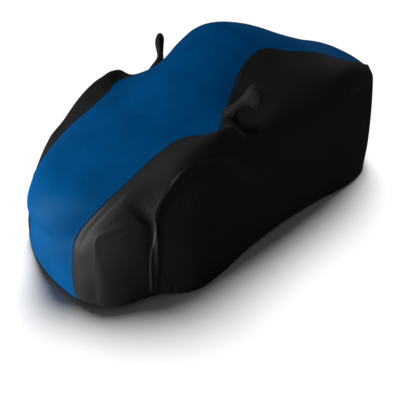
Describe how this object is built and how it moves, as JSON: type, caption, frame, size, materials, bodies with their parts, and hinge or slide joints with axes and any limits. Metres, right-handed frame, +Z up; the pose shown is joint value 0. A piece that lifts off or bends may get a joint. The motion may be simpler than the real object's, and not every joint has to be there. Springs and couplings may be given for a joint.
{
  "type": "car cover",
  "caption": "Fitted stretch cover pulled over a small coupe: a contrasting centre panel over bonnet, screen, roof and tail, darker side panels and ear-shaped door mirror pockets.",
  "frame": {"origin": "on the floor under the middle of the cover's bounding box", "axes": "-Y towards the car's nose, +Y towards its tail, +X towards the car's left side, +Z up"},
  "size_m": [1.6964, 3.4912, 1.4187],
  "materials": {
    "blue_stretch_cloth": "stretch satin knit, soft sheen, saturated mid blue",
    "black_stretch_cloth": "stretch satin knit, soft sheen, black",
    "black_pocket_cloth": "stretch satin knit, soft sheen, black, drawn tight over the mirror"
  },
  "bodies": {
    "root": {"centre_panel": "blue_stretch_cloth", "side_panel_left": "black_stretch_cloth", "side_panel_right": "black_stretch_cloth", "mirror_pocket_left": "black_pocket_cloth", "mirror_pocket_right": "black_pocket_cloth"}
  },
  "joints": []
}
